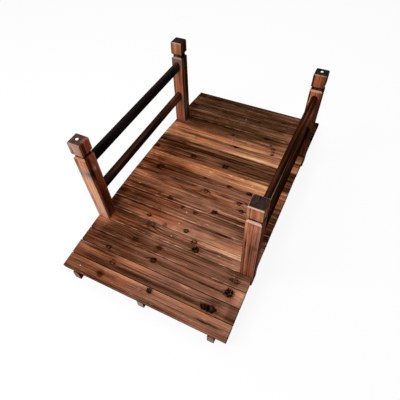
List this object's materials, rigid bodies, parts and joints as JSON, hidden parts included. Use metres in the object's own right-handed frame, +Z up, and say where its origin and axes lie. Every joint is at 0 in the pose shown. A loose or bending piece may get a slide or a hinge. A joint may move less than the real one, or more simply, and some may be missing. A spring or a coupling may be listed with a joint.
{
  "type": "garden footbridge",
  "caption": "Low-arched wooden garden footbridge with cross planks on arched stringers, square posts with grooved caps and rounded side rails.",
  "frame": {"origin": "on the ground under the middle of the bridge", "axes": "+X along the walkway towards the back end, +Y to the left of someone walking that way, +Z up"},
  "size_m": [1.208, 0.67, 0.489],
  "materials": {
    "deck_brown": "flame-finished fir, brushed, reddish brown with dark grain",
    "deck_tan": "lightly flamed fir, orange tan with brown grain",
    "deck_dark": "deeply flamed fir, dark brown",
    "post_wood": "flame-finished fir with dark end grain",
    "rail_wood": "deeply flamed fir, nearly black",
    "stringer_wood": "flame-finished fir, sawn ends greyish brown",
    "plug_wood": "pale bare wood"
  },
  "bodies": {
    "root": {"deck_plank_01": "deck_brown", "deck_plank_02": "deck_brown", "deck_plank_03": "deck_brown", "deck_plank_04": "deck_brown", "deck_plank_05": "deck_brown", "deck_plank_06": "deck_brown", "deck_plank_07": "deck_brown", "deck_plank_08": "deck_brown", "deck_plank_09": "deck_brown", "deck_plank_10": "deck_brown", "deck_plank_11": "deck_tan", "deck_plank_12": "deck_dark", "deck_plank_13": "deck_dark", "deck_plank_14": "deck_tan", "deck_plank_15": "deck_tan", "deck_plank_16": "deck_dark", "deck_plank_17": "deck_dark", "deck_plank_18": "deck_dark", "deck_plank_19": "deck_dark", "deck_plank_20": "deck_dark", "stringer_left": "stringer_wood", "stringer_middle": "stringer_wood", "stringer_right": "stringer_wood", "post_front_left": "post_wood", "post_front_right": "post_wood", "post_back_left": "post_wood", "post_back_right": "post_wood", "upper_rail_left": "rail_wood", "upper_rail_right": "rail_wood", "lower_rail_left": "rail_wood", "lower_rail_right": "rail_wood", "post_plug_front_left": "plug_wood", "post_plug_back_right": "plug_wood"}
  },
  "joints": []
}
